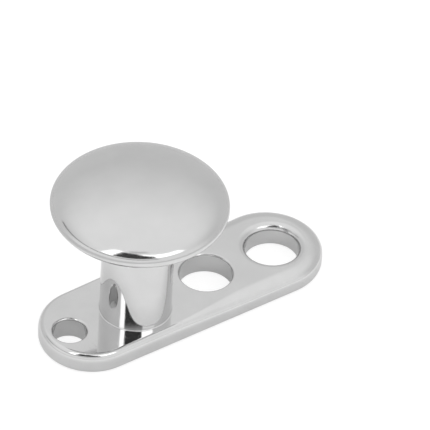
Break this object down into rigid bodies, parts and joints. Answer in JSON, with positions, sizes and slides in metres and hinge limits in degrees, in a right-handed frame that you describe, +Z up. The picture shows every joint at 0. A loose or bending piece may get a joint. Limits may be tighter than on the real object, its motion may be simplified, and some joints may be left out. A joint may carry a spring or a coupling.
{
  "type": "microdermal anchor",
  "caption": "Small polished body-jewellery anchor: a flat foot plate with open holes, an upright threaded post, and a domed disc top that screws into it.",
  "frame": {"origin": "on the post's axis at the underside of the foot plate", "axes": "+X along the foot plate from its toe (one small hole) to its heel (two larger holes), +Z up along the post towards the disc"},
  "size_m": [0.0072, 0.004, 0.0041],
  "materials": {
    "foot_plate_steel": "mirror-polished surgical steel, fine polishing lines",
    "post_steel": "mirror-polished surgical steel",
    "disc_steel": "polished surgical steel, softly buffed dome",
    "stud_steel": "machined surgical steel thread, lightly polished"
  },
  "bodies": {
    "anchor": {"foot_plate": "foot_plate_steel", "post": "post_steel"},
    "stud": {"threaded_stud": "stud_steel"},
    "top": {"disc": "disc_steel"}
  },
  "joints": [
    {"name": "top_rise", "type": "slide", "parent": "anchor", "child": "stud", "axis": [0, 0, 1], "range_m": [0, 0.0015]},
    {"name": "top_turn", "type": "hinge", "parent": "stud", "child": "top", "pos_m": [0, 0, 0.003], "axis": [0, 0, 1], "range_deg": [0, 2160]}
  ],
  "couplings": [
    {"joint": "top_turn", "follows": "top_rise", "rad_per_m": 25133}
  ]
}
